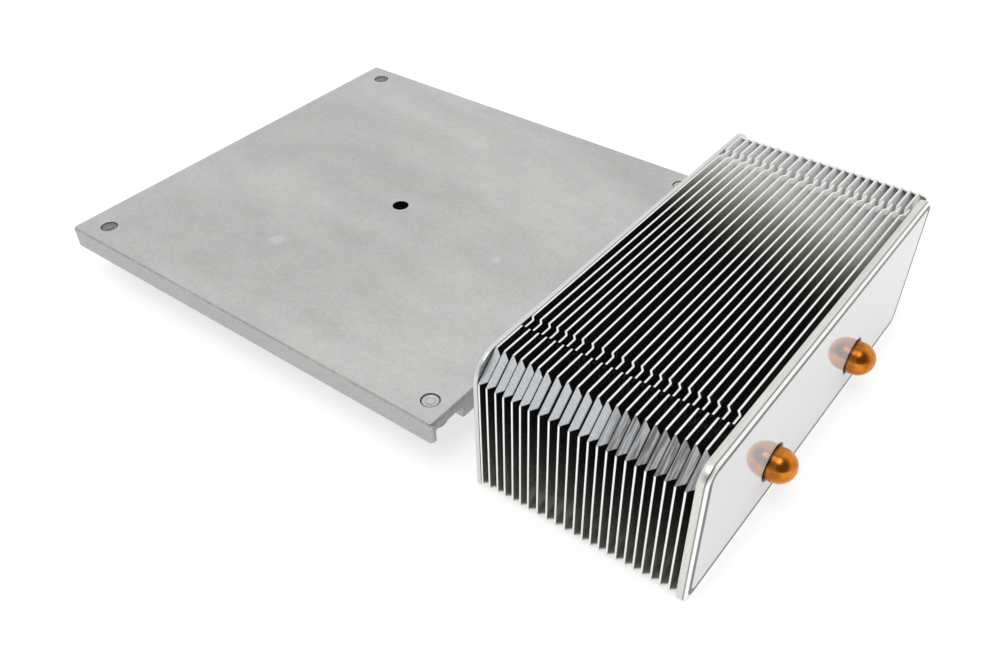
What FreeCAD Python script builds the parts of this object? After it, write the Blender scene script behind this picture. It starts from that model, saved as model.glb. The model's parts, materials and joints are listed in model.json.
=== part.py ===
import FreeCAD, Part

import math
import os
import re

import Sketcher

# Passive heatsink for a server processor.  A flat base plate sits on the processor; beside it
# stands a stack of 23 folded fins between two end plates.  Two heat pipes lie flattened in the
# underside of the base plate, turn round in the gap and run through the whole stack.
#
# Frame: +X from the base plate to the stack, +Y across, +Z up, millimetres.  The origin lies
# under the middle of the heatsink, level with the lowest edge of the right end plate.

SIZES = {
    # screw pattern of the processor's frame, which the base plate is built round
    "screw_spacing_x": 86.0,
    "screw_spacing_y": 82.0,
    # base plate: an extruded profile cut to length, its channels centred on the screws
    "base_end_left": 6.0,
    "base_end_right": 4.0,
    "base_top_z": 12.1,
    "web_thickness": 1.9,
    "rim_thickness": 1.2,
    "rim_height": 4.3,
    "channel_width": 6.8,
    "core_height": 4.4,
    "base_corner_radius": 0.8,
    "base_edge_bevel": 0.35,
    "centre_hole_diameter": 3.3,
    # threaded inserts in the corners of the base plate
    "insert_neck_diameter": 3.2,
    "insert_clearance": 0.1,
    "insert_recess": 0.2,
    "insert_barrel_diameter": 5.4,
    "insert_barrel_length": 2.3,
    "insert_bore_diameter": 2.5,
    "insert_bore_depth": 3.4,
    # heat pipes
    "pipe_diameter": 6.0,
    "pipe_spacing": 31.4,
    "pipe_shift_front": 1.5,
    "pipe_flat_thickness": 3.0,
    "pipe_drop": 0.5,
    "pipe_flat_fade": 8.0,
    "pipe_inset": 8.0,
    "pipe_taper": 2.5,
    "pipe_seal_thickness": 1.2,
    "pipe_protrusion": 1.1,
    # fin stack
    "stack_gap": 6.7,
    "fin_clearance": 0.12,
    "fin_thickness": 0.35,
    "fin_pitch": 1.55,
    "fin_loose_pitch": 1.75,
    "fin_shift_y": 1.25,
    "fin_depth": 87.9,
    "fin_bottom_z": 1.05,
    "fin_height": 26.45,
    "corner_run": 4.65,
    "corner_drop": 4.3,
    "tab_reach": 1.25,
    "tab_bevel": 1.1,
    "tongue_start": 11.0,
    "tongue_length": 2.7,
    "tongue_depth": 1.3,
    "tongue_kerf": 0.15,
    "tongue_offset": 0.6,
    "tongue_jog": 0.75,
    "collar_wall": 0.3,
    "collar_reach": 1.05,
    # end plates
    "left_plate_thickness": 0.8,
    "left_plate_bottom_z": 0.6,
    "left_plate_radius": 5.0,
    "right_plate_thickness": 1.7,
    "right_plate_front_reach": 0.2,
    "right_plate_back_inset": 5.8,
    "right_plate_rise": 0.8,
    "right_plate_radius": 3.0,
    "right_plate_foot_radius": 1.2,
    "right_plate_bevel": 0.5,
}

# The gaps between fins open a little from the seventh fin to the twelfth.
FIN_COUNT = 23
FIRST_LOOSE_GAP = 6
LAST_LOOSE_GAP = 11

# The collars are repeated 46 times inside the stack, so each is drawn with a few flats.
COLLAR_FLAT_COUNT = 10

# Arcs in each round side of a pipe's section.
SIDE_ARC_COUNT = 6

doc = FreeCAD.newDocument("Heatsink")
sheet = doc.addObject("Spreadsheet::Sheet", "Sizes")
for row, (alias, size) in enumerate(SIZES.items(), start=1):
    sheet.set(f"A{row}", alias)
    sheet.set(f"B{row}", str(size))
    sheet.setAlias(f"B{row}", alias)
doc.recompute()

SIZE_NAME = re.compile(r"\b(" + "|".join(SIZES) + r")\b")


def bound(text):
    """The expression with every size name pointed at its cell in the sheet."""
    return SIZE_NAME.sub(r"Sizes.\1", text)


def value(text):
    """What an expression over the sheet gives at present, in millimetres or degrees."""
    result = sheet.evalExpression(bound(text))
    return float(getattr(result, "Value", result))


# Derived places.  X is measured from the left edge of the base plate, and every body is then
# moved by ORIGIN_X.

BASE_LENGTH = "(base_end_left + screw_spacing_x + base_end_right)"
CORE_HALF = "((screw_spacing_y - channel_width) / 2)"
RIM_INSIDE = "((screw_spacing_y + channel_width) / 2)"
HALF_WIDTH = f"({RIM_INSIDE} + rim_thickness)"
CORE_BOTTOM = "(base_top_z - core_height)"
WEB_BOTTOM = "(base_top_z - web_thickness)"
RIM_BOTTOM = "(base_top_z - rim_height)"

SCREW_MIDDLE_X = "(base_end_left + screw_spacing_x / 2)"


def screw_place(side_x, side_y):
    """Where one of the four screws stands; the sides are -1 or +1 along X and Y."""
    return f"({SCREW_MIDDLE_X} + {side_x} * screw_spacing_x / 2)", f"({side_y} * screw_spacing_y / 2)"


PIPE_RADIUS = "(pipe_diameter / 2)"
FLAT_RADIUS = "(pipe_flat_thickness / 2)"
# pressing a round pipe flat keeps the length of its wall
FLAT_HALF = "(pi * (pipe_diameter - pipe_flat_thickness) / 4)"
FLAT_AXIS_Z = f"({CORE_BOTTOM} + {FLAT_RADIUS})"
ROUND_AXIS_Z = f"({FLAT_AXIS_Z} - pipe_drop)"

FIN_FRONT = "(fin_shift_y - fin_depth / 2)"
FIN_BACK = "(fin_shift_y + fin_depth / 2)"
FIN_TOP = "(fin_bottom_z + fin_height)"
FIN_FACE = "(fin_thickness / 2)"

LEFT_PLATE_X = f"({BASE_LENGTH} + stack_gap)"
FIRST_FIN_X = f"({LEFT_PLATE_X} + left_plate_thickness + fin_clearance + {FIN_FACE})"


def fin_x(index):
    """Middle of a fin's sheet along X; index 0 is the fin beside the left end plate."""
    loose = min(max(index - FIRST_LOOSE_GAP, 0), LAST_LOOSE_GAP - FIRST_LOOSE_GAP)
    return f"({FIRST_FIN_X} + {index - loose} * fin_pitch + {loose} * fin_loose_pitch)"


RIGHT_PLATE_X = f"({fin_x(FIN_COUNT - 1)} + tab_reach + fin_clearance / 2)"
DOME_X = f"({RIGHT_PLATE_X} + right_plate_thickness + pipe_protrusion)"
ORIGIN_X = f"(-({DOME_X} + {PIPE_RADIUS}) / 2)"


# Helpers for bodies and sketches -----------------------------------------------------------------

def new_body(name, x="0", y="0", z="0"):
    """An empty body placed at the given expressions."""
    body = doc.addObject("PartDesign::Body", name)
    body.Label = name
    for axis, text in zip("xyz", (x, y, z)):
        if text != "0":
            body.setExpression(f"Placement.Base.{axis}", bound(text))
    return body


def new_copy(name, original, x, y="0", z="0"):
    """A body that repeats the shape of another one at a place of its own."""
    body = new_body(name, x, y, z)
    repeat = body.newObject("PartDesign::FeatureBase", f"{name}_repeat")
    repeat.BaseFeature = original
    body.Tip = repeat
    return body


def attach(feature, body, role, offset=("0", "0", "0"), turn=None):
    """Lay a sketch or a primitive on one of the body's origin planes, offset and turned about X."""
    plane = next(item for item in body.Origin.OriginFeatures if item.Role == role)
    feature.AttachmentSupport = [(plane, "")]
    feature.MapMode = "FlatFace"
    if turn is not None:
        rotation = FreeCAD.Rotation(FreeCAD.Vector(1, 0, 0), value(turn))
        feature.AttachmentOffset = FreeCAD.Placement(FreeCAD.Vector(), rotation)
        feature.setExpression("AttachmentOffset.Rotation.Angle", bound(turn))
    for axis, text in zip("xyz", offset):
        if text != "0":
            feature.setExpression(f"AttachmentOffset.Base.{axis}", bound(text))


def new_sketch(body, name, role, offset=("0", "0", "0"), turn=None):
    sketch = body.newObject("Sketcher::SketchObject", f"{body.Name}_{name}")
    attach(sketch, body, role, offset, turn)
    return sketch


def bind(sketch, kind, place, text):
    """Add one dimension to the sketch and tie it to an expression."""
    constraint = Sketcher.Constraint(kind, *place, value(text))
    index = sketch.addConstraint(constraint)
    sketch.setExpression(f"Constraints[{index}]", bound(text))


def bind_point(sketch, geometry, end, corner):
    """Fix one point of the sketch at a corner given as two expressions."""
    bind(sketch, "DistanceX", (-1, 1, geometry, end), corner[0])
    bind(sketch, "DistanceY", (-1, 1, geometry, end), corner[1])


def add_outline(sketch, corners, arcs=None):
    """Closed outline through the corners, counter-clockwise.

    The edge that leaves corner i is straight, or an arc round the centre arcs[i].
    """
    arcs = arcs or {}
    count = len(corners)
    first = sketch.GeometryCount
    points = [FreeCAD.Vector(value(x), value(y), 0) for x, y in corners]
    for i, start in enumerate(points):
        end = points[(i + 1) % count]
        if i in arcs:
            centre = FreeCAD.Vector(value(arcs[i][0]), value(arcs[i][1]), 0)
            circle = Part.Circle(centre, FreeCAD.Vector(0, 0, 1), start.distanceToPoint(centre))
            angles = [math.atan2(p.y - centre.y, p.x - centre.x) for p in (start, end)]
            if angles[1] <= angles[0]:
                angles[1] += 2 * math.pi
            sketch.addGeometry(Part.ArcOfCircle(circle, *angles), False)
        else:
            sketch.addGeometry(Part.LineSegment(start, end), False)
    for i in range(count):
        following = first + (i + 1) % count
        sketch.addConstraint(Sketcher.Constraint("Coincident", first + i, 2, following, 1))
    for i, corner in enumerate(corners):
        bind_point(sketch, first + i, 1, corner)
    for i, centre in arcs.items():
        chord = points[(i + 1) % count] - points[i]
        axis = 0 if abs(chord.y) >= abs(chord.x) else 1
        bind(sketch, ("DistanceX", "DistanceY")[axis], (-1, 1, first + i, 3), centre[axis])


def add_circle(sketch, centre, radius):
    place = FreeCAD.Vector(value(centre[0]), value(centre[1]), 0)
    circle = Part.Circle(place, FreeCAD.Vector(0, 0, 1), value(radius))
    index = sketch.addGeometry(circle, False)
    bind_point(sketch, index, 3, centre)
    bind(sketch, "Radius", (index,), radius)


def sweep(body, kind, name, profile, length=None, reverse=False):
    """Pad or Pocket of a sketch; without a length a Pocket cuts through everything."""
    feature = body.newObject(f"PartDesign::{kind}", f"{body.Name}_{name}")
    feature.Profile = profile
    feature.Reversed = reverse
    if length is None:
        feature.Type = "ThroughAll"
    else:
        feature.setExpression("Length", bound(length))
    return feature


def dress_edges(body, kind, name, base, wanted, size):
    """Fillet or Chamfer on those edges of the base feature whose bounding box passes the test."""
    doc.recompute()
    edges = base.Shape.Edges
    names = [f"Edge{i}" for i, edge in enumerate(edges, start=1) if wanted(edge.BoundBox)]
    feature = body.newObject(f"PartDesign::{kind}", f"{body.Name}_{name}")
    feature.Base = (base, names)
    feature.setExpression("Radius" if kind == "Fillet" else "Size", bound(size))
    return feature


def close(a, b):
    return abs(a - b) < 1e-4


def pipe_y(side):
    """Place of a pipe's axis across the heatsink; side is -1 for the front pipe, +1 for the back."""
    return f"({side} * pipe_spacing / 2 - pipe_shift_front)"


def pipe_places():
    """Where the two pipe axes cross a plane across the stack."""
    return [(pipe_y(side), ROUND_AXIS_Z) for side in (-1, 1)]


# Base plate --------------------------------------------------------------------------------------

def make_base_plate():
    body = new_body("base_plate", ORIGIN_X)
    # half of the extruded section, from the outer edge in to the core
    half = [
        (HALF_WIDTH, RIM_BOTTOM),
        (RIM_INSIDE, RIM_BOTTOM),
        (RIM_INSIDE, WEB_BOTTOM),
        (CORE_HALF, WEB_BOTTOM),
        (CORE_HALF, CORE_BOTTOM),
    ]
    corners = [(f"(-{y})", z) for y, z in half]
    corners += list(reversed(half))
    corners += [(HALF_WIDTH, "base_top_z"), (f"(-{HALF_WIDTH})", "base_top_z")]
    section = new_sketch(body, "section", "YZ_Plane")
    add_outline(section, corners)
    plate = sweep(body, "Pad", "extrusion", section, BASE_LENGTH)

    edge_y = value(HALF_WIDTH)
    top_z = value("base_top_z")
    corners_rounded = dress_edges(
        body, "Fillet", "corners", plate,
        lambda box: close(abs(box.YMin), edge_y) and close(box.YLength, 0)
        and close(box.XLength, 0) and close(box.ZMax, top_z),
        "base_corner_radius")
    dress_edges(
        body, "Chamfer", "top_edges", corners_rounded,
        lambda box: close(box.ZMin, top_z) and close(box.ZMax, top_z)
        and close(abs(box.YMin), edge_y) and close(box.YLength, 0),
        "base_edge_bevel")

    holes = new_sketch(body, "holes", "XY_Plane", ("0", "0", "base_top_z"))
    for side_x in (-1, 1):
        for side_y in (-1, 1):
            add_circle(holes, screw_place(side_x, side_y),
                       "(insert_neck_diameter / 2 + insert_clearance)")
    add_circle(holes, (SCREW_MIDDLE_X, "0"), "(centre_hole_diameter / 2)")
    sweep(body, "Pocket", "drilling", holes)

    grooves = new_sketch(body, "grooves", "YZ_Plane", ("0", "0", "pipe_inset"))
    for side in (-1, 1):
        middle = pipe_y(side)
        right = f"({middle} + {FLAT_HALF})"
        left = f"({middle} - {FLAT_HALF})"
        wall_right = f"({right} + {FLAT_RADIUS})"
        wall_left = f"({left} - {FLAT_RADIUS})"
        roof = f"({FLAT_AXIS_Z} + {FLAT_RADIUS})"
        add_outline(
            grooves,
            [(wall_left, CORE_BOTTOM), (wall_right, CORE_BOTTOM), (wall_right, FLAT_AXIS_Z),
             (right, roof), (left, roof), (wall_left, FLAT_AXIS_Z)],
            {2: (right, FLAT_AXIS_Z), 4: (left, FLAT_AXIS_Z)})
    sweep(body, "Pocket", "pipe_grooves", grooves, reverse=True)


# Corner inserts ----------------------------------------------------------------------------------

def insert_place(side_x, side_y):
    x, y = screw_place(side_x, side_y)
    return f"({ORIGIN_X} + {x})", y, WEB_BOTTOM


def make_insert(name, side_x, side_y):
    """Threaded insert: a neck pressed into the web and a wider barrel under it, bored from below."""
    body = new_body(name, *insert_place(side_x, side_y))
    bore_roof = "(insert_bore_depth - insert_barrel_length)"
    neck_top = "(web_thickness - insert_recess)"
    section = new_sketch(body, "section", "XZ_Plane")
    add_outline(section, [
        ("(insert_bore_diameter / 2)", "(-insert_barrel_length)"),
        ("(insert_barrel_diameter / 2)", "(-insert_barrel_length)"),
        ("(insert_barrel_diameter / 2)", "0"),
        ("(insert_neck_diameter / 2)", "0"),
        ("(insert_neck_diameter / 2)", neck_top),
        ("0", neck_top),
        ("0", bore_roof),
        ("(insert_bore_diameter / 2)", bore_roof),
    ])
    turned = body.newObject("PartDesign::Revolution", f"{name}_turned")
    turned.Profile = section
    turned.ReferenceAxis = (section, ["V_Axis"])
    turned.Angle = 360
    return body


# Heat pipes --------------------------------------------------------------------------------------

def pipe_section(body, name, x, axis_z, half, radius, fade):
    """Section of the pipe across X: a top and a bottom edge joined by two round sides.

    half is half the width of a pressed side.  A round section has no such side, and its top and
    bottom are short arcs that span twice the angle fade, so the pressed sides run out to nothing.
    """
    sketch = new_sketch(body, name, "YZ_Plane", ("0", axis_z, x))
    corners = []
    arcs = {}
    for side in (1, -1):
        for step in range(SIDE_ARC_COUNT + 1):
            angle = f"({side} * (90 - {fade}) * {2 * step / SIDE_ARC_COUNT - 1})"
            if step < SIDE_ARC_COUNT:
                arcs[len(corners)] = (f"({side} * {half})", "0")
            elif half == "0":
                arcs[len(corners)] = ("0", "0")
            corners.append(
                (f"({side} * ({half} + {radius} * cos{angle}))", f"({radius} * sin{angle})"))
    add_outline(sketch, corners, arcs)
    return sketch


def pressed_section(body, name, x, thickness):
    return pipe_section(body, name, x, FLAT_AXIS_Z, FLAT_HALF, f"({thickness} / 2)", "0")


def round_section(body, name, x):
    return pipe_section(body, name, x, ROUND_AXIS_Z, "0", PIPE_RADIUS, "pipe_flat_fade")


def loft(body, name, start, end):
    feature = body.newObject("PartDesign::AdditiveLoft", f"{body.Name}_{name}")
    feature.Profile = start
    feature.Sections = [end]
    feature.Ruled = True
    return feature


def make_heat_pipe(name):
    """Pipe whose pressed run ends in a tapered seal, turning round and ending in a dome."""
    body = new_body(name, ORIGIN_X, pipe_y(-1))
    shoulder_x = "(pipe_inset + pipe_taper)"
    seal = pressed_section(body, "seal", "pipe_inset", "pipe_seal_thickness")
    shoulder = pressed_section(body, "shoulder", shoulder_x, "pipe_flat_thickness")
    loft(body, "sealed_end", seal, shoulder)
    flat = pressed_section(body, "flat", shoulder_x, "pipe_flat_thickness")
    sweep(body, "Pad", "pressed_run", flat, f"({BASE_LENGTH} - {shoulder_x})")
    leaving = pressed_section(body, "leaving", BASE_LENGTH, "pipe_flat_thickness")
    entering = round_section(body, "entering", LEFT_PLATE_X)
    loft(body, "turning_round", leaving, entering)
    straight = round_section(body, "straight", LEFT_PLATE_X)
    sweep(body, "Pad", "round_run", straight, f"({DOME_X} - {LEFT_PLATE_X})")
    dome = body.newObject("PartDesign::AdditiveSphere", f"{name}_dome")
    attach(dome, body, "YZ_Plane", ("0", ROUND_AXIS_Z, DOME_X))
    dome.setExpression("Radius", bound(PIPE_RADIUS))
    return body


# Fins --------------------------------------------------------------------------------------------

def fin_outline():
    """Corners of the fin's flat sheet: cut corners at the top and two notches in the top edge."""
    notch_floor = f"({FIN_TOP} - tongue_depth)"
    front_notch = [f"({FIN_FRONT} + tongue_start)", f"({FIN_FRONT} + tongue_start + tongue_length)"]
    back_notch = [f"({FIN_BACK} - tongue_start - tongue_length)", f"({FIN_BACK} - tongue_start)"]
    corners = [
        (FIN_FRONT, "fin_bottom_z"),
        (FIN_BACK, "fin_bottom_z"),
        (FIN_BACK, f"({FIN_TOP} - corner_drop)"),
        (f"({FIN_BACK} - corner_run)", FIN_TOP),
    ]
    for near, far in (back_notch, front_notch):
        corners += [(far, FIN_TOP), (far, notch_floor), (near, notch_floor), (near, FIN_TOP)]
    corners += [
        (f"({FIN_FRONT} + corner_run)", FIN_TOP),
        (FIN_FRONT, f"({FIN_TOP} - corner_drop)"),
    ]
    return corners


def add_tab(body, name, start_y, start_z, length, turn, outside):
    """Strip bent square off the sheet toward +X along an edge that starts at the given place."""
    sketch = new_sketch(body, name, "XY_Plane", ("0", start_y, start_z), turn)
    add_outline(sketch, [
        ("0", "0"),
        ("tab_reach", "tab_bevel"),
        ("tab_reach", f"({length} - tab_bevel)"),
        ("0", length),
    ])
    sweep(body, "Pad", f"{name}_bend", sketch, "fin_thickness", reverse=outside)


def add_tongue(body, name, edge, inward):
    """Strip lanced free in a notch of the top edge and pushed toward +X, one end still joined.

    The strip starts at the outer end of the notch; inward is +1 or -1 along Y.
    """
    free = f"({edge} + {inward} * tongue_start)"
    root = f"({free} + {inward} * tongue_length)"
    jog = f"({root} - {inward} * tongue_jog)"
    mitre = f"({inward} * fin_thickness * tan(atan2(tongue_offset; tongue_jog) / 2))"
    hold = f"({inward} * fin_thickness)"
    corners = [
        (f"(tongue_offset + {FIN_FACE})", free),
        (f"(tongue_offset + {FIN_FACE})", f"({jog} + {mitre})"),
        (FIN_FACE, f"({root} + {mitre})"),
        (FIN_FACE, f"({root} + {mitre} + {hold})"),
        (f"(-{FIN_FACE})", f"({root} + {mitre} + {hold})"),
        (f"(-{FIN_FACE})", root),
        (f"(tongue_offset - {FIN_FACE})", jog),
        (f"(tongue_offset - {FIN_FACE})", free),
    ]
    if inward < 0:
        corners.reverse()
    sketch = new_sketch(body, name, "XY_Plane", ("0", "0", FIN_TOP))
    add_outline(sketch, corners)
    sweep(body, "Pad", f"{name}_strip", sketch, "(tongue_depth - tongue_kerf)", reverse=True)


def add_collar(body, side, place):
    """Collar drawn out of the sheet round a pipe, with flats that touch the pipe along its length."""
    for kind, name, apothem, start, reach in (
            ("Additive", "collar", f"({PIPE_RADIUS} + collar_wall)", FIN_FACE, "collar_reach"),
            ("Subtractive", "hole", PIPE_RADIUS, f"(-{FIN_FACE})", "(fin_thickness + collar_reach)")):
        prism = body.newObject(f"PartDesign::{kind}Prism", f"{body.Name}_{side}_{name}")
        attach(prism, body, "YZ_Plane", (place[0], place[1], start))
        prism.Polygon = COLLAR_FLAT_COUNT
        prism.setExpression("Circumradius", bound(f"{apothem} / cos({180 / COLLAR_FLAT_COUNT})"))
        prism.setExpression("Height", bound(reach))


def make_fin(name):
    body = new_body(name, f"({ORIGIN_X} + {fin_x(0)})")
    flat = new_sketch(body, "outline", "YZ_Plane", ("0", "0", f"(-{FIN_FACE})"))
    add_outline(flat, fin_outline())
    sweep(body, "Pad", "sheet", flat, "fin_thickness")

    slope = "atan2(corner_drop; corner_run)"
    slope_length = "sqrt(corner_run ^ 2 + corner_drop ^ 2)"
    shoulder_z = f"({FIN_TOP} - corner_drop)"
    add_tab(body, "front_tab", FIN_FRONT, shoulder_z, slope_length, slope, True)
    add_tab(body, "back_tab", f"({FIN_BACK} - corner_run)", FIN_TOP, slope_length,
            f"-{slope}", True)
    add_tab(body, "bottom_tab", FIN_FRONT, "fin_bottom_z", "fin_depth", None, False)

    add_tongue(body, "front_tongue", FIN_FRONT, 1)
    add_tongue(body, "back_tongue", FIN_BACK, -1)

    for side, place in zip(("front", "back"), pipe_places()):
        add_collar(body, side, place)
    return body


# End plates --------------------------------------------------------------------------------------

def make_left_plate():
    """Thin plate with two large round corners at the top."""
    body = new_body("end_plate_left", f"({ORIGIN_X} + {LEFT_PLATE_X})")
    inside_front = f"({FIN_FRONT} + left_plate_radius)"
    inside_back = f"({FIN_BACK} - left_plate_radius)"
    shoulder = f"({FIN_TOP} - left_plate_radius)"
    sketch = new_sketch(body, "outline", "YZ_Plane")
    add_outline(
        sketch,
        [(FIN_FRONT, "left_plate_bottom_z"), (FIN_BACK, "left_plate_bottom_z"),
         (FIN_BACK, shoulder), (inside_back, FIN_TOP),
         (inside_front, FIN_TOP), (FIN_FRONT, shoulder)],
        {2: (inside_back, shoulder), 4: (inside_front, shoulder)})
    for place in pipe_places():
        add_circle(sketch, place, PIPE_RADIUS)
    sweep(body, "Pad", "plate", sketch, "left_plate_thickness")


def make_right_plate():
    """Thick plate, rounder at its top corners, with the edges of its outer face bevelled."""
    body = new_body("end_plate_right", f"({ORIGIN_X} + {RIGHT_PLATE_X})")
    front = f"({FIN_FRONT} - right_plate_front_reach)"
    back = f"({FIN_BACK} - right_plate_back_inset)"
    top = f"({FIN_TOP} + right_plate_rise)"
    inner_front = f"({front} + right_plate_radius)"
    inner_back = f"({back} - right_plate_radius)"
    inner_top = f"({top} - right_plate_radius)"
    foot_front = f"({front} + right_plate_foot_radius)"
    foot_back = f"({back} - right_plate_foot_radius)"
    foot_top = "right_plate_foot_radius"
    sketch = new_sketch(body, "outline", "YZ_Plane")
    add_outline(
        sketch,
        [(foot_front, "0"), (foot_back, "0"), (back, foot_top), (back, inner_top),
         (inner_back, top), (inner_front, top), (front, inner_top), (front, foot_top)],
        {1: (foot_back, foot_top), 3: (inner_back, inner_top),
         5: (inner_front, inner_top), 7: (foot_front, foot_top)})
    for place in pipe_places():
        add_circle(sketch, place, PIPE_RADIUS)
    plate = sweep(body, "Pad", "plate", sketch, "right_plate_thickness")
    doc.recompute()
    outer_x = plate.Shape.BoundBox.XMax
    dress_edges(
        body, "Chamfer", "outer_edges", plate,
        lambda box: close(box.XMin, outer_x) and close(box.XMax, outer_x),
        "right_plate_bevel")


make_base_plate()

insert = make_insert("insert_left_front", -1, -1)
new_copy("insert_left_back", insert, *insert_place(-1, 1))
new_copy("insert_right_front", insert, *insert_place(1, -1))
new_copy("insert_right_back", insert, *insert_place(1, 1))

pipe = make_heat_pipe("heat_pipe_front")
new_copy("heat_pipe_back", pipe, ORIGIN_X, pipe_y(1))

make_left_plate()
fin = make_fin("fin_01")
for fin_index in range(1, FIN_COUNT):
    new_copy(f"fin_{fin_index + 1:02d}", fin, f"({ORIGIN_X} + {fin_x(fin_index)})")
make_right_plate()
doc.recompute()

# Check every feature and write one file for each body --------------------------------------------

for item in doc.Objects:
    if "Invalid" in item.State or "Error" in item.State:
        raise RuntimeError(f"{item.Name} did not build: {item.State}")

os.makedirs("parts", exist_ok=True)
for body in doc.findObjects("PartDesign::Body"):
    shape = body.Shape
    if shape.isNull() or not shape.isValid() or len(shape.Solids) != 1:
        raise RuntimeError(f"{body.Label} is not one sound solid")
    shape.exportStep(f"parts/{body.Label}.step")
    box = shape.BoundBox
    print(f"{body.Label}: volume {shape.Volume:.2f} mm3, "
          f"x {box.XMin:.2f} to {box.XMax:.2f}, y {box.YMin:.2f} to {box.YMax:.2f}, "
          f"z {box.ZMin:.2f} to {box.ZMax:.2f}")
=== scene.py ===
# %% [markdown]
# # A passive heatsink, dressed for the camera
#
# The object is a server heatsink: a satin aluminium base plate, a stack of thin folded fins
# between two end plates, and two copper heat pipes.  The engineering model arrives as a fixed
# frame of named nodes.  This lesson keeps every size of it, gives the pieces the soft edges and
# the finishes of real metal, and lights them on a pale floor.

# %% Load the frame
import json
import math
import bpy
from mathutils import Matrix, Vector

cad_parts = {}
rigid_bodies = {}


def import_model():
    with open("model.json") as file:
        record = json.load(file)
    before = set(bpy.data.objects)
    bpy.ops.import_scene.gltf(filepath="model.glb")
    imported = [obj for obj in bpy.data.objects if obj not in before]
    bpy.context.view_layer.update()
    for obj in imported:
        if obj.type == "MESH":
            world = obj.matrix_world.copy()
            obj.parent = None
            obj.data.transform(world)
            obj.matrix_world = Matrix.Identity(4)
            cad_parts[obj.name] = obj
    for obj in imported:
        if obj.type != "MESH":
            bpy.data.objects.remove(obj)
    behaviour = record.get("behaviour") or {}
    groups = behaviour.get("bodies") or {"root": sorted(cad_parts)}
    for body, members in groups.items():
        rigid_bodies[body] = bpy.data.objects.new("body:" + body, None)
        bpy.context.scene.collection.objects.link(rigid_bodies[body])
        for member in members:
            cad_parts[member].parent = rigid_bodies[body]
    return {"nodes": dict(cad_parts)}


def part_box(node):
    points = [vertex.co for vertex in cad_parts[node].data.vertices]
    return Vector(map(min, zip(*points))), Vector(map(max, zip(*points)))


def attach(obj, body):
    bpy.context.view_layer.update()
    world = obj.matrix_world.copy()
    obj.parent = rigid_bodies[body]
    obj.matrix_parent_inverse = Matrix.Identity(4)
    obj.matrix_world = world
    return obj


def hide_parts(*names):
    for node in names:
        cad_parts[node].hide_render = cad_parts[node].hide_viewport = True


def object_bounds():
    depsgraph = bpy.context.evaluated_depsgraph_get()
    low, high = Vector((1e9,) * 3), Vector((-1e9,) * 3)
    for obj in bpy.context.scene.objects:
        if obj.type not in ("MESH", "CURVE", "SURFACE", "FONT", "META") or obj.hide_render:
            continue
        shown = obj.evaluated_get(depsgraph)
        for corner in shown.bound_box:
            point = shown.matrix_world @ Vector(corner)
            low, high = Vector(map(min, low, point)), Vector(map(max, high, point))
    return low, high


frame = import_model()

from types import SimpleNamespace

import bmesh
import bpy
from mathutils import Matrix, Vector

MM = 0.001
nodes = frame["nodes"]
cad_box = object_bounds()
low, high = (Vector(corner) for corner in cad_box)
centre = (low + high) / 2
print("size in mm:", [round(side / MM, 1) for side in high - low], "nodes:", len(nodes))

# %% [markdown]
# ## Copies that can be worked on
#
# A node's mesh is loose triangles, exact but with knife-sharp edges.  Real edges are always a
# little round and catch the light, so each visible piece is a copy: merged, its flat faces joined
# up, and bevelled by a few hundredths of a millimetre.  The alternative, a bevel drawn by the
# shader alone, would not survive an export.  A Weighted Normal modifier then lets the large faces
# decide the shading, so they stay flat and only the narrow bevels look round.

# %% Helper: a clean copy of a node
MERGE_DISTANCE = 0.002 * MM
SAME_PLANE = math.radians(1)
BEVELLED_CORNER = math.radians(25)
SHARP_CORNER = math.radians(50)
BEVEL_SEGMENTS = 2
LARGEST_FACE_ONLY = 100


def clean_copy(node, name, bevel=0.0):
    """Merged copy of a node's mesh with flat faces joined and its edges bevelled."""
    mesh = bpy.data.meshes.new(name)
    work = bmesh.new()
    work.from_mesh(nodes[node].data)
    bmesh.ops.remove_doubles(work, verts=work.verts, dist=MERGE_DISTANCE)
    bmesh.ops.dissolve_limit(work, angle_limit=SAME_PLANE, verts=work.verts, edges=work.edges)
    work.to_mesh(mesh)
    work.free()
    piece = bpy.data.objects.new(name, mesh)
    bpy.context.scene.collection.objects.link(piece)
    if bevel:
        soften(piece, bevel)
    for face in piece.data.polygons:
        face.use_smooth = True
    piece.data.set_sharp_from_angle(angle=SHARP_CORNER)
    flatten = piece.modifiers.new("flat faces", "WEIGHTED_NORMAL")
    flatten.keep_sharp = True
    flatten.weight = LARGEST_FACE_ONLY
    bake(piece)
    return piece


def soften(piece, width):
    """Bevel the piece's sharp edges and keep the result as its plain mesh."""
    bevel = piece.modifiers.new("edge", "BEVEL")
    bevel.width = width
    bevel.segments = BEVEL_SEGMENTS
    bevel.limit_method = "ANGLE"
    bevel.angle_limit = BEVELLED_CORNER
    bevel.use_clamp_overlap = True
    bake(piece)


def bake(piece):
    """Replace the piece's mesh by what its modifiers make of it."""
    graph = bpy.context.evaluated_depsgraph_get()
    baked = bpy.data.meshes.new_from_object(piece.evaluated_get(graph))
    piece.modifiers.clear()
    piece.data = baked


# %% Helper: hand a piece over
def dress(piece, slot, material, *replaced):
    """Give a finished piece its finish and its body, and hide the nodes it stands for; slot is not
    used.
    """
    piece.data.materials.clear()
    piece.data.materials.append(material)
    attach(piece, "root")
    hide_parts(*replaced)
    triangles = sum(len(face.vertices) - 2 for face in piece.data.polygons)
    print(piece.name, "triangles:", triangles)


# %% [markdown]
# ## Node maths as Python
#
# A procedural finish is mostly arithmetic on a few noises.  Wiring Math nodes by hand hides that,
# so `Wire` wraps a socket and turns `+`, `-`, `*`, `**` and `abs` into Math nodes, with the
# reflected forms that make `1 - mask` work.  `Graph.node` adds any other node: it takes the node's
# type, its settings and its inputs.  The same two classes serve the materials, the world and the
# Geometry Nodes tree.

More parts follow.
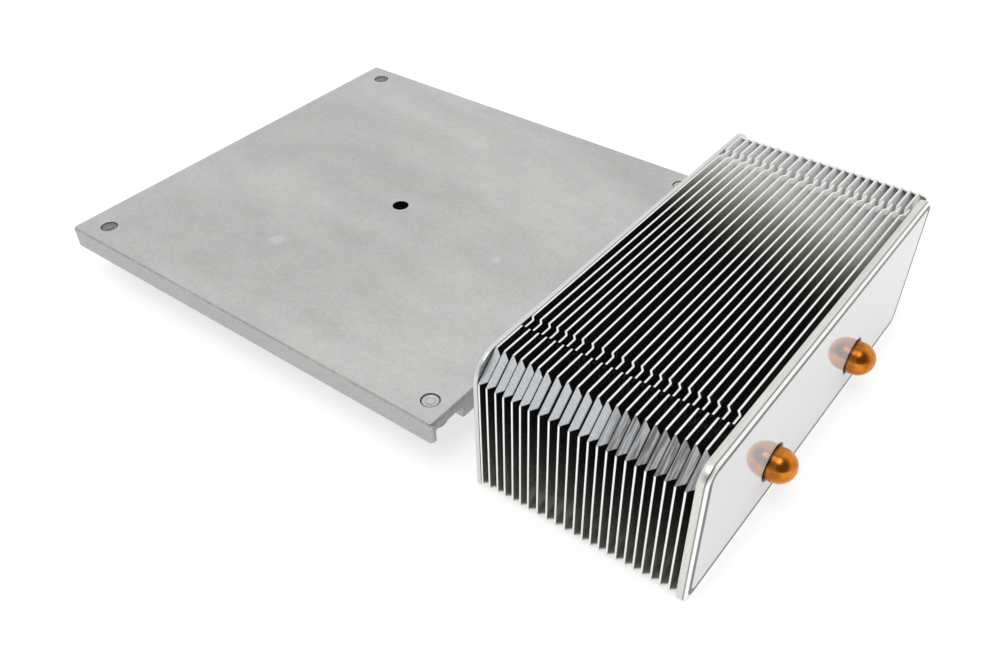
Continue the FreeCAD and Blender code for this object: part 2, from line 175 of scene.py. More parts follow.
# %% Helper: sockets that do maths
class Wire:
    """One output socket of a node tree, with arithmetic."""

    def __init__(self, graph, socket):
        self.graph = graph
        self.socket = socket

    def maths(self, operation, *values, clamp=False):
        return self.graph.node(
            "ShaderNodeMath", {"operation": operation, "use_clamp": clamp},
            dict(enumerate(values)))

    def __add__(self, other):
        return self.maths("ADD", self, other)

    def __sub__(self, other):
        return self.maths("SUBTRACT", self, other)

    def __rsub__(self, other):
        return self.maths("SUBTRACT", other, self)

    def __mul__(self, other):
        return self.maths("MULTIPLY", self, other)

    def __pow__(self, other):
        return self.maths("POWER", self, other)

    def __abs__(self):
        return self.maths("ABSOLUTE", self)

    __radd__ = __add__
    __rmul__ = __mul__

    def at_least(self, other):
        return self.maths("MAXIMUM", self, other)

    def at_most(self, other):
        return self.maths("MINIMUM", self, other)

    def clamped(self):
        return self.maths("ADD", self, 0.0, clamp=True)

    def fade(self, start, end, first=0.0, last=1.0):
        """A smooth step: first where the value is start, last where it is end."""
        return self.graph.node(
            "ShaderNodeMapRange", {"interpolation_type": "SMOOTHSTEP"},
            {"Value": self, "From Min": start, "From Max": end,
             "To Min": first, "To Max": last})


def distance(across, along):
    """Distance from nought, given the places along two axes that are square to each other."""
    return (across * across + along * along) ** 0.5


# %% Helper: a node tree with one method for every node
class Graph:
    """A node tree of any kind."""

    def __init__(self, tree):
        self.tree = tree

    def node(self, kind, settings=None, inputs=None, output=0):
        """Add a node; settings first, then values or Wires for its inputs."""
        made = self.tree.nodes.new(kind)
        for key, setting in (settings or {}).items():
            setattr(made, key, setting)
        for key, given in (inputs or {}).items():
            self.feed(made.inputs[key], given)
        return Wire(self, made.outputs[output])

    def feed(self, socket, given):
        """Link a Wire to the socket, or set the value on it."""
        if isinstance(given, Wire):
            self.tree.links.new(given.socket, socket)
        else:
            socket.default_value = given

    def split(self, vector):
        """The three components of a vector wire."""
        return [self.node("ShaderNodeSeparateXYZ", inputs={0: vector}, output=axis)
                for axis in range(3)]


# %% Helper: a metal finish
class Finish(Graph):
    """A material with one Principled shader and helpers that add nodes in front of it."""

    def __init__(self, name):
        self.material = bpy.data.materials.new(name)
        self.material.use_nodes = True
        super().__init__(self.material.node_tree)
        self.shader = self.tree.nodes["Principled BSDF"]
        self.place = self.node("ShaderNodeTexCoord", output="Object")
        self.facing = self.node("ShaderNodeTexCoord", output="Normal")

    def noise(self, size_mm, stretch=(1, 1, 1), turn=0.0, detail=3.0, rough=0.5):
        """Noise whose features are about size_mm across, stretched along its own axes."""
        turned = self.node(
            "ShaderNodeMapping", {"vector_type": "TEXTURE"},
            {"Vector": self.place, "Rotation": (0.0, 0.0, math.radians(turn)),
             "Scale": [size_mm * MM * factor for factor in stretch]})
        return self.node(
            "ShaderNodeTexNoise", {"noise_dimensions": "3D"},
            {"Vector": turned, "Scale": 1.0, "Detail": detail, "Roughness": rough})

    def blend(self, factor, first, second):
        """Colour between first and second by a mask."""
        return self.node(
            "ShaderNodeMix", {"data_type": "RGBA"},
            {0: factor, 6: self.colour(first), 7: self.colour(second)}, output=2)

    @staticmethod
    def colour(given):
        """A colour wire as it is, or three numbers with the alpha that a socket wants."""
        return given if isinstance(given, Wire) else (*given, 1.0)

    def spot(self, x_mm, y_mm, radius_mm, softness_mm):
        """Mask of a soft round spot seen from above."""
        x, y, _ = self.split(self.place)
        away = distance(x - x_mm * MM, y - y_mm * MM)
        return away.fade((radius_mm + softness_mm) * MM, radius_mm * MM)

    def metal(self, colour, roughness, height, relief_mm, metallic=1.0):
        """Connect colour, roughness, relief and metalness, and return the material."""
        for label, given in (
                ("Base Color", colour), ("Roughness", roughness), ("Metallic", metallic)):
            self.feed(self.shader.inputs[label], given)
        bump = self.node(
            "ShaderNodeBump",
            inputs={"Strength": 1.0, "Distance": relief_mm * MM, "Height": height},
            output="Normal")
        self.feed(self.shader.inputs["Normal"], bump)
        return self.material


# %% [markdown]
# ## Finish of the base plate
#
# The plate is extruded, tumbled and a little handled.  Its grey is cloudy over centimetres,
# blotched over several millimetres, mottled over two, and finely grained, so the tone is a sum of
# four noises, one for each scale.  Two small spots are rubbed a little brighter.  The rim is
# coarser and darker than the top, and the arris between them has a broken dark line.  The wall of
# the centre hole is painted nearly black, as painted shade.  The direction a face looks in tells
# these apart.  The hole stands in the middle of the four screws, not of the plate, so its place is
# measured on the inserts.

# %% Where the screws stand
insert_names = sorted(name for name in nodes if name.startswith("insert_"))
insert_middles = [sum(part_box(name), Vector()) / 2 for name in insert_names]
screw_middle = sum(insert_middles, Vector()) / len(insert_middles)
print("middle of the screws in mm:", [round(side / MM, 2) for side in screw_middle.xy])

# %% Base plate finish
PLATE_DEEP, PLATE_PALE = (0.415, 0.419, 0.410), (0.625, 0.627, 0.618)
RIM_DEEP, RIM_PALE = (0.33, 0.33, 0.32), (0.50, 0.50, 0.49)
# the third colour here is painted shade: the near-black wall of the centre hole
RUBBED, DARK_ARRIS, HOLE_SHADE = (0.70, 0.70, 0.70), (0.22, 0.22, 0.21), (0.02, 0.02, 0.02)
# x and y of each rubbed spot, its radius and its soft edge, in millimetres
RUBBED_SPOTS = ((-35.5, -24.0, 0.7, 1.6), (3.9, -3.7, 0.4, 1.2))
HOLE_SPOT = (screw_middle.x / MM, screw_middle.y / MM, 2.0, 0.4)
# degrees by which the clouds lie across the plate
CLOUD_TURN = -10


def base_finish():
    """Cloudy satin grey with a gritty rim, a dark arris line and painted shade on the hole wall.
    """
    finish = Finish("satin aluminium")
    cloud = finish.noise(26.0, stretch=(2.4, 0.7, 1.0), turn=CLOUD_TURN, detail=1.5)
    blotch = finish.noise(7.0, stretch=(1.6, 1.0, 1.0), turn=CLOUD_TURN, detail=5, rough=0.6)
    mottle = finish.noise(2.0, detail=4, rough=0.7).fade(0.30, 0.70)
    grain = finish.noise(0.34, detail=2, rough=0.6).fade(0.28, 0.72)
    drawn = finish.noise(0.6, stretch=(40, 1, 1), detail=3)
    tone = (cloud.fade(0.36, 0.64) * 0.30 + blotch.fade(0.34, 0.66) * 0.16
            + mottle * 0.22 + grain * 0.32)
    rubbed = sum(finish.spot(*spot) for spot in RUBBED_SPOTS).clamped()
    top = finish.blend(rubbed * 0.35, finish.blend(tone, PLATE_DEEP, PLATE_PALE), RUBBED)

    upright = abs(finish.split(finish.facing)[2])
    side = upright.fade(0.3, 0.1)
    arris = upright.fade(0.20, 0.40) * upright.fade(0.97, 0.85)
    arris_line = arris * (mottle + grain * 0.5).clamped()
    rimmed = finish.blend(side * 0.7, top, finish.blend(grain, RIM_DEEP, RIM_PALE))
    edged = finish.blend(arris_line * 0.45, rimmed, DARK_ARRIS)
    # painted shade: the wall of the centre hole is coloured near black
    colour = finish.blend(side * finish.spot(*HOLE_SPOT), edged, HOLE_SHADE)
    roughness = 0.44 + (mottle - 0.5) * 0.10 - rubbed * 0.06
    return finish.metal(colour, roughness, grain * 0.7 + drawn * 0.3, relief_mm=0.012)


base_metal = base_finish()
print("made", base_metal.name)

# %% [markdown]
# ## Finish of the fins
#
# Fin stock is thin rolled sheet.  Rolling leaves faint lines along the fin and a fairly sharp
# reflection, which does most of the work: deep between two fins the light has bounced so often
# that the gap turns black by itself.  On top of that come the marks of making, white sheared
# edges and bluish bent tabs, and painted light and shade: a streaked painted dark reflection on
# the tabs towards the right, painted shade on the free edges of the tabs, at the foot of the fins
# and in pockets beside the lanced tongues, and painted light towards the back of the stack, for
# the bright room seen through the back by reflection.  All fins share one material, so each mark
# is a mask worked out from where a point is and which way it faces.

# %% Measure the stack
fin_names = sorted(name for name in nodes if name.startswith("fin_"))
stack_low, stack_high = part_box(fin_names[0])[0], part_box(fin_names[-1])[1]
stack_middle = (stack_low + stack_high) / 2
stack_half = (stack_high - stack_low) / 2
print("stack in mm:", [round(2 * side / MM, 2) for side in stack_half])

# %% Where the marks lie on a fin
# each range says where a mark begins and where it is full
END_RANGE = (2.5 * MM, 1.5 * MM)
TOP_RANGE = (1.0 * MM, 0.7 * MM)
FOOT_RANGE = (20 * MM, -3 * MM)
RIGHT_RANGE = (19 * MM, 24 * MM)
BACK_LIGHT_RANGE = (1 * MM, 22 * MM)
# the painted back light comes further forward on the right: so much along the fin for each step
# across
BACK_LIGHT_SLANT = 0.27
BACK_LIGHT_WAVER = 4 * MM
TONGUE_FROM_END = 12.35 * MM
POCKET_LENGTH_RANGE = (2.7 * MM, 2.0 * MM)
POCKET_DEPTH_RANGE = (2.4 * MM, 1.7 * MM)


def fin_marks(finish, mottle):
    """Masks of the sheared edges and tabs, painted shade at the foot and in the tongue pockets,
    painted light at the back.
    """
    x, y, z = finish.split(finish.place)
    _, facing_y, facing_z = finish.split(finish.facing)
    lengthways, upright = abs(facing_y), abs(facing_z)
    from_end = stack_half.y - abs(y - stack_middle.y)
    below_top = stack_high.z - z
    at_ends, at_top = from_end.fade(*END_RANGE), below_top.fade(*TOP_RANGE)
    sheared = (upright * at_top).at_least(lengthways * at_ends).fade(0.86, 0.97)
    tab = (upright * lengthways).fade(0.30, 0.45)
    # painted shade: towards the foot, deep in the gaps, the fins turn a darker, duller, less
    # metallic grey
    foot = (z - stack_low.z).fade(*FOOT_RANGE) * (1 - tab)
    # painted light: the back of the stack turns pale and less metallic, for the bright room seen
    # through the back by reflection
    back = y + (x - stack_high.x) * BACK_LIGHT_SLANT + (mottle - 0.5) * BACK_LIGHT_WAVER
    paleness = back.fade(*BACK_LIGHT_RANGE) ** 0.85
    from_tongue = abs(from_end - TONGUE_FROM_END)
    # painted shade in the kerf pockets beside the lanced tongues
    pocket = (from_tongue.fade(*POCKET_LENGTH_RANGE) * below_top.fade(*POCKET_DEPTH_RANGE)
              * (1 - paleness))
    right = (x - stack_low.x).fade(*RIGHT_RANGE)
    return SimpleNamespace(
        sheared=sheared, tab=tab, foot=foot, paleness=paleness, pocket=pocket, right=right)


# %% Fin finish
FACE_DEEP, FACE_PALE = (0.42, 0.42, 0.40), (0.50, 0.50, 0.475)
# painted shade at the foot, painted light at the back with its olive painted border, painted shade
# in the tongue pockets
FOOT_SHADE, BACK_LIGHT, BACK_LIGHT_BORDER, POCKET_SHADE = (
    (0.42, 0.42, 0.375), (0.93, 0.93, 0.92), (0.62, 0.62, 0.50), (0.04, 0.04, 0.035))
TAB_DEEP, TAB_PALE = (0.50, 0.53, 0.555), (0.74, 0.765, 0.785)
# a painted dark reflection streaked over the tabs on the right, painted shade on the free edges of
# the tabs
TAB_DARK_REFLECTION, TAB_EDGE_SHADE, SHEARED = (0.165, 0.155, 0.157), (0.12, 0.12, 0.12), (0.90, 0.90, 0.89)
# how far off the sheet the painted shade on a tab's free edge begins, and where it is full
FREE_EDGE_RANGE = (1.22 * MM, 1.34 * MM)


def fin_face(finish, mark, mottle):
    """Colour of the flat sheet: painted shade at the foot, painted light at the back with an olive
    painted border where it begins, painted shade in the pockets.
    """
    face = finish.blend(mottle, FACE_DEEP, FACE_PALE)
    foot_shaded = finish.blend(mark.foot, face, FOOT_SHADE)
    back_lit = finish.blend(mark.paleness, foot_shaded, BACK_LIGHT)
    light_border = mark.paleness * (1 - mark.paleness) * 4
    return finish.blend(mark.pocket, finish.blend(light_border * 0.5, back_lit, BACK_LIGHT_BORDER), POCKET_SHADE)


def fin_tab(finish, mark, mottle, speckle):
    """Colour of the bent tabs: bluish and speckled, with a streaked painted dark reflection on the
    right and painted shade on the free edge.
    """
    streak = finish.noise(0.30, stretch=(1, 16, 16), detail=2).fade(0.35, 0.65)
    bluish = finish.blend(speckle * 0.6 + mottle * 0.4, TAB_DEEP, TAB_PALE)
    # painted reflection: the tabs on the right are streaked dark
    dark_reflected = finish.blend(mark.right * (streak * 0.65 + 0.3), bluish, TAB_DARK_REFLECTION)
    off_sheet = finish.node(
        "ShaderNodeAttribute", {"attribute_type": "GEOMETRY", "attribute_name": "from_sheet"},
        output="Fac")
    # painted shade on the free edge of each tab
    return finish.blend(off_sheet.fade(*FREE_EDGE_RANGE) * 0.6, dark_reflected, TAB_EDGE_SHADE)


def fin_finish():
    """Dark mirror faces, pale folded tabs, white sheared edges, painted light towards the back."""
    finish = Finish("rolled fin sheet")
    rolled = finish.noise(0.25, stretch=(1, 60, 1), detail=2)
    speckle = finish.noise(0.24, detail=2, rough=0.6).fade(0.30, 0.70)
    mottle = finish.noise(6.0, detail=3)
    mark = fin_marks(finish, mottle)
    sheet = finish.blend(
        mark.tab, fin_face(finish, mark, mottle), fin_tab(finish, mark, mottle, speckle))
    colour = finish.blend(mark.sheared, sheet, SHEARED)
    roughness = (
        0.14 + rolled * 0.08 + mark.paleness * 0.45 + mark.foot * 0.14 + mark.pocket * 0.4
        + mark.tab * 0.2 + mark.sheared * 0.22).at_most(0.8)
    # the painted light at the back and the painted shade at the foot are also made less metallic
    painted_share = (mark.paleness * (1 - mark.tab * 0.6)).at_least(mark.foot * 0.40)
    metallic = 0.98 - painted_share * (1 - mark.sheared) * 0.80
    return finish.metal(
        colour, roughness, rolled * 0.5 + speckle * 0.5, relief_mm=0.004, metallic=metallic)


fin_metal = fin_finish()
print("made", fin_metal.name)

# %% [markdown]
# ## Finish of the end plates
#
# The left plate is plain rolled sheet like the fins.  The right one is thicker, and its outer face
# is bright and lacquered: nearly white, with a clear reflection at a low angle.  Its bevelled edge
# shines.  A dark line of painted reflection runs along the cut edge next to the bevel, and a thin
# dark line of painted reflection runs round the face just inside the edge, where a rounded edge
# mirrors the dark side of the room.  Painted shade fills the clearance round each pipe.  The line
# round the face follows the rounded corners of the plate, so it is drawn by the distance from the
# outline, not as four strips.

# %% Left plate finish
LEFT_DEEP, LEFT_PALE = (0.62, 0.63, 0.62), (0.72, 0.73, 0.72)


def left_plate_finish():
    """Rolled sheet with faint lines along the plate."""
    finish = Finish("left plate sheet")
    rolled = finish.noise(0.4, stretch=(1, 50, 1), detail=2)
    colour = finish.blend(finish.noise(9.0, detail=3), LEFT_DEEP, LEFT_PALE)
    return finish.metal(colour, 0.30 + rolled * 0.12, rolled, relief_mm=0.003)


left_metal = left_plate_finish()
print("made", left_metal.name)

# %% Right plate finish
CORNER_RADIUS = 3.0 * MM
PIPE_RADIUS = 3.0 * MM
PIPE_NAMES = ("heat_pipe_front", "heat_pipe_back")
CUT_DEEP, CUT_PALE, CHAMFER = (0.60, 0.61, 0.56), (0.80, 0.81, 0.76), (0.95, 0.95, 0.94)
BRIGHT_DEEP, BRIGHT_PALE = (0.87, 0.875, 0.88), (0.92, 0.92, 0.92)
# painted dark reflections along the cut edge and round the outer face, painted shade in the
# clearance round the pipes
ARRIS_REFLECTION, FRAME_REFLECTION, CLEARANCE_SHADE = (0.14, 0.14, 0.135), (0.05, 0.053, 0.056), (0.09, 0.065, 0.06)
# distances from a pipe, behind the outer face and in from the outline
CLEARANCE_RANGE = (0.62 * MM, 0.45 * MM)
ARRIS_FRONT_RANGE, ARRIS_BACK_RANGE = (0.34 * MM, 0.42 * MM), (0.62 * MM, 0.54 * MM)
LINE_OUTER_RANGE, LINE_INNER_RANGE = (0.42 * MM, 0.55 * MM), (1.62 * MM, 1.45 * MM)
right_low, right_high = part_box("end_plate_right")


def ring_round_pipe(finish, pipe):
    """Mask of the painted shade in the narrow clearance between the plate and a pipe."""
    lowest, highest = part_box(pipe)
    _, y, z = finish.split(finish.place)
    away = distance(y - (lowest.y + highest.y) / 2, z - (highest.z - PIPE_RADIUS))
    return (away - PIPE_RADIUS).fade(*CLEARANCE_RANGE)


def inside_outline(finish):
    """How far a point lies inside the rounded outline of the right plate."""
    middle = (right_low + right_high) / 2
    straight = (right_high - right_low) / 2 - Vector((0.0, CORNER_RADIUS, CORNER_RADIUS))
    _, y, z = finish.split(finish.place)
    beyond_y = (abs(y - middle.y) - straight.y).at_least(0.0)
    beyond_z = (abs(z - middle.z) - straight.z).at_least(0.0)
    return CORNER_RADIUS - distance(beyond_y, beyond_z)


def right_plate_finish():
    """Bright lacquered outer face with a painted dark reflection line round it; satin, warm cut
    edges.
    """
    finish = Finish("bright right plate")
    outwards = finish.split(finish.facing)[0]
    outer = outwards.fade(0.90, 0.99)
    chamfer = outwards.fade(0.42, 0.60) * (1 - outer)
    behind_face = right_high.x - finish.split(finish.place)[0]
    arris = behind_face.fade(*ARRIS_FRONT_RANGE) * behind_face.fade(*ARRIS_BACK_RANGE)
    inset = inside_outline(finish)
    line = inset.fade(*LINE_INNER_RANGE) * inset.fade(*LINE_OUTER_RANGE) * outer
    front_ring, back_ring = (ring_round_pipe(finish, pipe) for pipe in PIPE_NAMES)

    paleness = finish.noise(14.0, detail=3)
    grain = finish.noise(0.5, stretch=(1, 12, 1), detail=2)
    edge = finish.blend(chamfer, finish.blend(grain, CUT_DEEP, CUT_PALE), CHAMFER)
    # painted reflection: a dark line on the cut edge next to the bevel
    lined = finish.blend(arris * (1 - outer) * 0.75, edge, ARRIS_REFLECTION)
    faced = finish.blend(outer, lined, finish.blend(paleness, BRIGHT_DEEP, BRIGHT_PALE))
    # painted reflection: a thin dark line round the outer face
    framed = finish.blend(line * 0.95, faced, FRAME_REFLECTION)
    # painted shade in the clearance round each pipe
    colour = finish.blend(front_ring.at_least(back_ring), framed, CLEARANCE_SHADE)
    roughness = 0.36 - outer * 0.31 + paleness * 0.02 + line * 0.3
    return finish.metal(
        colour, roughness, grain * (1 - outer), relief_mm=0.004, metallic=1 - outer * 0.87)


right_metal = right_plate_finish()
print("made", right_metal.name)

# %% [markdown]
# ## Finish of the copper
#
# Bright copper is one of the few metals with a strong colour of its own.  A thin brown oxide
# gathers in patches, so a noise moves both colour and gloss, and a dark seam of painted shade
# lies in the corner where a pipe leaves the right plate.

# %% Copper finish
# the last colour is painted shade, for the corner where a pipe leaves the right plate
COPPER, OXIDE, ROOT_SHADE = (0.68, 0.235, 0.028), (0.44, 0.125, 0.014), (0.05, 0.025, 0.015)
ROOT_SHADE_RANGE = (0.55 * MM, 0.20 * MM)


def copper_finish():
    """Bright copper with brown patches and painted shade where it leaves the plate."""
    finish = Finish("bright copper")
    patches = finish.noise(1.8, detail=4, rough=0.6).fade(0.35, 0.7)
    fine = finish.noise(0.25, detail=2)
    past_plate = finish.split(finish.place)[0] - right_high.x
    # painted shade in the corner where the pipe leaves the plate
    root_shade = past_plate.fade(*ROOT_SHADE_RANGE) * (patches * 0.6 + 0.4)
    colour = finish.blend(root_shade * 0.8, finish.blend(patches, COPPER, OXIDE), ROOT_SHADE)
    return finish.metal(colour, 0.17 + patches * 0.14, fine, relief_mm=0.008)


copper = copper_finish()
print("made", copper.name)

# %% [markdown]
# ## Finish of the inserts
#
# Each insert shows only the round end of its neck.  A dark ring marks the joint with the plate, a
# faint crease runs round the middle, and the end is slightly dished, which a bump gives without
# another face.  The two inserts on the left are painted darker, as painted shade, the shade of a
# recess seen at a low angle.  The four stand in a rectangle, so one distance, measured from the
# nearest corner of it, draws all four rings.

# %% Measure the neck of an insert
TOP_BAND = 0.1 * MM
top_of_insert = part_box(insert_names[0])[1].z
neck_radius = max(
    (corner.co - insert_middles[0]).xy.length
    for corner in nodes[insert_names[0]].data.vertices if corner.co.z > top_of_insert - TOP_BAND)
print("neck radius in mm:", round(neck_radius / MM, 3))

# %% Insert finish
CLEAN_DEEP, CLEAN_PALE = (0.50, 0.51, 0.50), (0.62, 0.62, 0.62)
# painted shade: darker greys for the two inserts on the left
SHADED_DEEP, SHADED_PALE = (0.17, 0.17, 0.165), (0.27, 0.27, 0.265)
JOINT = (0.07, 0.07, 0.07)
# distances in from the rim of the neck, and out from its middle
JOINT_RANGE = (0.34 * MM, 0.12 * MM)
CREASE_INNER_RANGE, CREASE_OUTER_RANGE = (0.62 * MM, 0.78 * MM), (1.02 * MM, 0.86 * MM)
# places along the plate, from the middle of the screws
SHADED_RANGE = (10 * MM, -10 * MM)


def insert_finish():
    """Plated steel with a dark joint round it, painted shade on two of the four."""
    finish = Finish("plated insert")
    x, y, _ = finish.split(finish.place)
    corner = insert_middles[0] - screw_middle
    away = distance(
        abs(x - screw_middle.x) - abs(corner.x), abs(y - screw_middle.y) - abs(corner.y))
    joint = (neck_radius - away).fade(*JOINT_RANGE)
    crease = away.fade(*CREASE_INNER_RANGE) * away.fade(*CREASE_OUTER_RANGE)
    dish = away.fade(neck_radius * 0.3, neck_radius)
    turned = finish.noise(0.3, detail=3)
    # painted shade on the two inserts on the left
    painted_share = (x - screw_middle.x).fade(*SHADED_RANGE)
    steel = finish.blend(
        painted_share, finish.blend(turned, CLEAN_DEEP, CLEAN_PALE),
        finish.blend(turned, SHADED_DEEP, SHADED_PALE))
    colour = finish.blend((joint * 0.7).at_least(crease * 0.35), steel, JOINT)
    return finish.metal(colour, 0.30 + turned * 0.08, turned * 0.04 + dish, relief_mm=0.25)


insert_metal = insert_finish()
print("made", insert_metal.name)

# %% [markdown]
# ## Plates, inserts and pipes
#
# These pieces keep the shape they have and only need soft edges.  The base plate and the thick
# right plate get a little more than the thin left plate and the inserts.  The pipes show only
# their domed ends, which have no edge to soften.

# %% Dress the plates, the inserts and the pipes
THICK_EDGE = 0.10 * MM
THIN_EDGE = 0.08 * MM

base_plate = clean_copy("base_plate", "base_plate_dressed", bevel=THICK_EDGE)
dress(base_plate, "base_aluminium", base_metal, "base_plate")

left_plate = clean_copy("end_plate_left", "end_plate_left_dressed", bevel=THIN_EDGE)
dress(left_plate, "plate_aluminium", left_metal, "end_plate_left")

right_plate = clean_copy("end_plate_right", "end_plate_right_dressed", bevel=THICK_EDGE)
dress(right_plate, "plate_aluminium", right_metal, "end_plate_right")

for node in insert_names:
    dress(clean_copy(node, f"{node}_dressed", bevel=THIN_EDGE), "insert_steel", insert_metal, node)

for node in PIPE_NAMES:
    dress(clean_copy(node, f"{node}_dressed"), "pipe_copper", copper, node)

# %% [markdown]
# ## The fin stack
#
# All fins are one stamping, so one bevelled fin is repeated by Geometry Nodes.  The tree places a
# point for each fin at its pitch, instances the fin there and leans each one by a hair, because
# no stack is perfectly straight.  The sizes come in through named inputs, measured on the nodes.
# Copies in a Python loop would do as well, but the tree states the rule in one place.

# %% Helper: a Geometry Nodes tree that runs once
class Repeater(Graph):
    """A Geometry Nodes tree with named inputs, applied to a piece as a modifier."""

    def __init__(self, name, inputs):
        super().__init__(bpy.data.node_groups.new(name, "GeometryNodeTree"))
        interface = self.tree.interface
        interface.new_socket("Geometry", in_out="OUTPUT", socket_type="NodeSocketGeometry")
        self.ids = {}
        for label, kind in inputs.items():
            socket = interface.new_socket(label, in_out="INPUT", socket_type=kind)
            self.ids[label] = socket.identifier
        start = self.tree.nodes.new("NodeGroupInput")
        self.given = {label: Wire(self, start.outputs[label]) for label in inputs}
        self.end = self.tree.nodes.new("NodeGroupOutput")

    def run(self, piece, **values):
        """Apply the tree to a piece once and keep the result as a plain mesh."""
        modifier = piece.modifiers.new("repeat", "NODES")
        modifier.node_group = self.tree
        for label, value in values.items():
            modifier[self.ids[label.replace("_", " ")]] = value
        bake(piece)


# %% The tree that repeats a fin
def fin_stack_tree():
    """A row of fins at one pitch, and at a looser one from the first to the last loose fin."""
    tree = Repeater("fin stack", {
        "fin": "NodeSocketGeometry", "count": "NodeSocketInt", "pitch": "NodeSocketFloat",
        "loose pitch": "NodeSocketFloat", "first loose": "NodeSocketInt",
        "last loose": "NodeSocketInt", "lean": "NodeSocketFloat", "seed": "NodeSocketInt",
        "metal": "NodeSocketMaterial"})
    given = tree.given
    index = tree.node("GeometryNodeInputIndex")
    loose_count = given["last loose"] - given["first loose"]
    loose = (index - given["first loose"]).at_least(0.0).at_most(loose_count)
    across = index * given["pitch"] + loose * (given["loose pitch"] - given["pitch"])
    place = tree.node("ShaderNodeCombineXYZ", inputs={0: across})
    points = tree.node("GeometryNodePoints", inputs={"Count": given["count"], "Position": place})
    turn = tree.node(
        "FunctionNodeRandomValue", {"data_type": "FLOAT"},
        {2: given["lean"] * -1.0, 3: given["lean"], "ID": index, "Seed": given["seed"]}, output=1)
    rotation = tree.node("ShaderNodeCombineXYZ", inputs={2: turn})
    instances = tree.node(
        "GeometryNodeInstanceOnPoints",
        inputs={"Points": points, "Instance": given["fin"], "Rotation": rotation})
    real = tree.node("GeometryNodeRealizeInstances", inputs={0: instances})
    painted = tree.node(
        "GeometryNodeSetMaterial", inputs={"Geometry": real, "Material": given["metal"]})
    tree.feed(tree.end.inputs[0], painted)
    return tree


# %% Measure the pitches
fin_x = [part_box(name)[0].x for name in fin_names]
pitches = [after - before for before, after in zip(fin_x, fin_x[1:])]
pitch, loose_pitch = min(pitches), max(pitches)
loose_gaps = [i for i, step in enumerate(pitches) if step > (pitch + loose_pitch) / 2]
print("pitches in mm:", round(pitch / MM, 3), round(loose_pitch / MM, 3), "loose:", loose_gaps)

# %% [markdown]
# The finish wants to know how far each point stands off the flat sheet, to darken the free edges
# of the tabs.  That distance is lost once the fins are in a row, so it is written on the one fin
# first, as an attribute that the tree carries along to every copy.

# %% Build the stack
FIN_EDGE = 0.05 * MM
LEAN = math.radians(0.05)
LEAN_SEED = 4

fin_stack = clean_copy(fin_names[0], "fin_stack", bevel=FIN_EDGE)
from_sheet = fin_stack.data.attributes.new("from_sheet", "FLOAT", "POINT")
from_sheet.data.foreach_set(
    "value", [corner.co.x - fin_x[0] for corner in fin_stack.data.vertices])
fin_stack_tree().run(
    fin_stack, count=len(fin_names), pitch=pitch, loose_pitch=loose_pitch,
    first_loose=loose_gaps[0], last_loose=loose_gaps[-1] + 1, lean=LEAN, seed=LEAN_SEED,
    metal=fin_metal)
dress(fin_stack, "fin_aluminium", fin_metal, *fin_names)

# %% [markdown]
# ## Floor
#
# A pale floor catches the soft shadow.  It glows a little for the camera and for reflections, so
# it turns pure white where nothing shades it, while the light that it throws back on the metal
# stays that of a grey floor.

# %% Floor
FLOOR_SIDE = 6.0
FLOOR_GREY = (0.45, 0.45, 0.45, 1.0)
FLOOR_GLOW = 0.62


def floor_material():
    """Matt grey with a glow that only camera, glossy and transmission rays see."""
    material = bpy.data.materials.new("pale floor")
    material.use_nodes = True
    material.node_tree.nodes.clear()
    floor_graph = Graph(material.node_tree)
    camera_ray, glossy_ray, clear_ray = (
        floor_graph.node("ShaderNodeLightPath", output=f"Is {kind} Ray")
        for kind in ("Camera", "Glossy", "Transmission"))
    seen = camera_ray.at_least(glossy_ray).at_least(clear_ray)
    matt = floor_graph.node("ShaderNodeBsdfDiffuse", inputs={"Color": FLOOR_GREY})
    glow = floor_graph.node("ShaderNodeEmission", inputs={"Strength": seen * FLOOR_GLOW})
    both = floor_graph.node("ShaderNodeAddShader", inputs={0: matt, 1: glow})
    surface = material.node_tree.nodes.new("ShaderNodeOutputMaterial").inputs["Surface"]
    floor_graph.feed(surface, both)
    return material


half = FLOOR_SIDE / 2
floor_mesh = bpy.data.meshes.new("floor")
floor_mesh.from_pydata(
    [(-half, -half, low.z), (half, -half, low.z), (half, half, low.z), (-half, half, low.z)],
    [], [(0, 1, 2, 3)])
floor = bpy.data.objects.new("floor", floor_mesh)
bpy.context.scene.collection.objects.link(floor)
floor.data.materials.append(floor_material())
print("floor side in m:", FLOOR_SIDE)

# %% [markdown]
# ## Surroundings and lamp
#
# Metal shows its surroundings more than its own colour.  They are a white light tent with one dark
# side, towards the front right and above: without it the mirror faces of the fins would be as
# white as their edges.  Only glossy rays meet the dark side, so the plain light on the object
# stays even.  One large lamp overhead gives the soft shadow.

# %% World
DARK_SIDE = Vector((0.52, -0.58, 0.62)).normalized()
DARK_FROM = math.radians(70)
DARKEST_FROM = math.radians(26)
DARK_LEVEL = 0.14
ROOM_LEVEL = 0.85
WHITE = (1.0, 1.0, 1.0, 1.0)

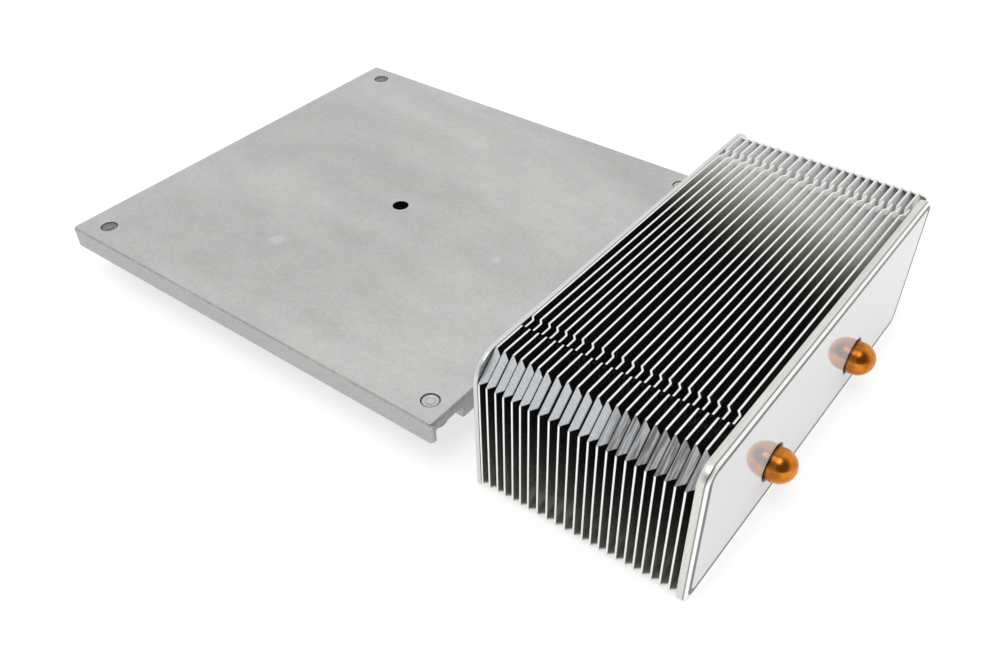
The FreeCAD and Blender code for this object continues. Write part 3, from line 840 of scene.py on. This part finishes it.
world = bpy.data.worlds.new("light tent")
bpy.context.scene.world = world
world.use_nodes = True
tent = Graph(world.node_tree)
background = world.node_tree.nodes["Background"]
direction = tent.node("ShaderNodeTexCoord", output="Generated")
towards = tent.node(
    "ShaderNodeVectorMath", {"operation": "DOT_PRODUCT"}, {0: direction, 1: DARK_SIDE},
    output="Value")
mirrored = towards.fade(math.cos(DARK_FROM), math.cos(DARKEST_FROM), 1.0, DARK_LEVEL)
glossy_ray, camera_ray = (
    tent.node("ShaderNodeLightPath", output=f"Is {kind} Ray") for kind in ("Glossy", "Camera"))
room = glossy_ray * mirrored + (1 - glossy_ray) * ROOM_LEVEL
tent.feed(background.inputs["Color"], WHITE)
tent.feed(background.inputs["Strength"], camera_ray + (1 - camera_ray) * room)
print("made", world.name)

# %% Lamp
LAMP_OFFSET = Vector((0.05, -0.30, 0.75))
LAMP_SIZE = 0.5
LAMP_POWER = 2.0

lamp_data = bpy.data.lights.new("overhead", "AREA")
lamp_data.shape = "DISK"
lamp_data.size = LAMP_SIZE
lamp_data.energy = LAMP_POWER
lamp = bpy.data.objects.new("overhead", lamp_data)
bpy.context.scene.collection.objects.link(lamp)
lamp.location = centre + LAMP_OFFSET
lamp.rotation_euler = (-LAMP_OFFSET).to_track_quat("-Z", "Y").to_euler()
print("lamp in m:", [round(side, 2) for side in lamp.location])

# %% [markdown]
# ## Camera
#
# The camera looks down across the front right corner from close by, so the near end of the fin
# stack is much larger than the far corner of the plate.  Its line of sight crosses the object a
# little in front of the middle; a small upward shift frames it.

# %% Camera
HEADING, TILT, ROLL = (math.radians(angle) for angle in (38.318, 46.934, -1.250))
AIM = Vector((27.15, -33.43, 13.8)) * MM
DISTANCE = 158.1 * MM
SENSOR_MM, LENS_MM = 36.0, 34.86
SHIFT_X, SHIFT_Y = 0.0022, 0.0587
NEAR_CLIP = 5 * MM

camera_data = bpy.data.cameras.new("camera")
camera_data.sensor_width = SENSOR_MM
camera_data.lens = LENS_MM
camera_data.shift_x = SHIFT_X
camera_data.shift_y = SHIFT_Y
camera_data.clip_start = NEAR_CLIP
camera = bpy.data.objects.new("camera", camera_data)
bpy.context.scene.collection.objects.link(camera)
turned = (Matrix.Rotation(HEADING, 4, "Z") @ Matrix.Rotation(TILT, 4, "X")
          @ Matrix.Rotation(ROLL, 4, "Z"))
camera.matrix_world = Matrix.Translation(AIM) @ turned @ Matrix.Translation((0, 0, DISTANCE))
bpy.context.scene.camera = camera
bpy.context.scene.view_settings.view_transform = "Standard"
print("camera at mm:", [round(side / MM, 1) for side in camera.matrix_world.translation])
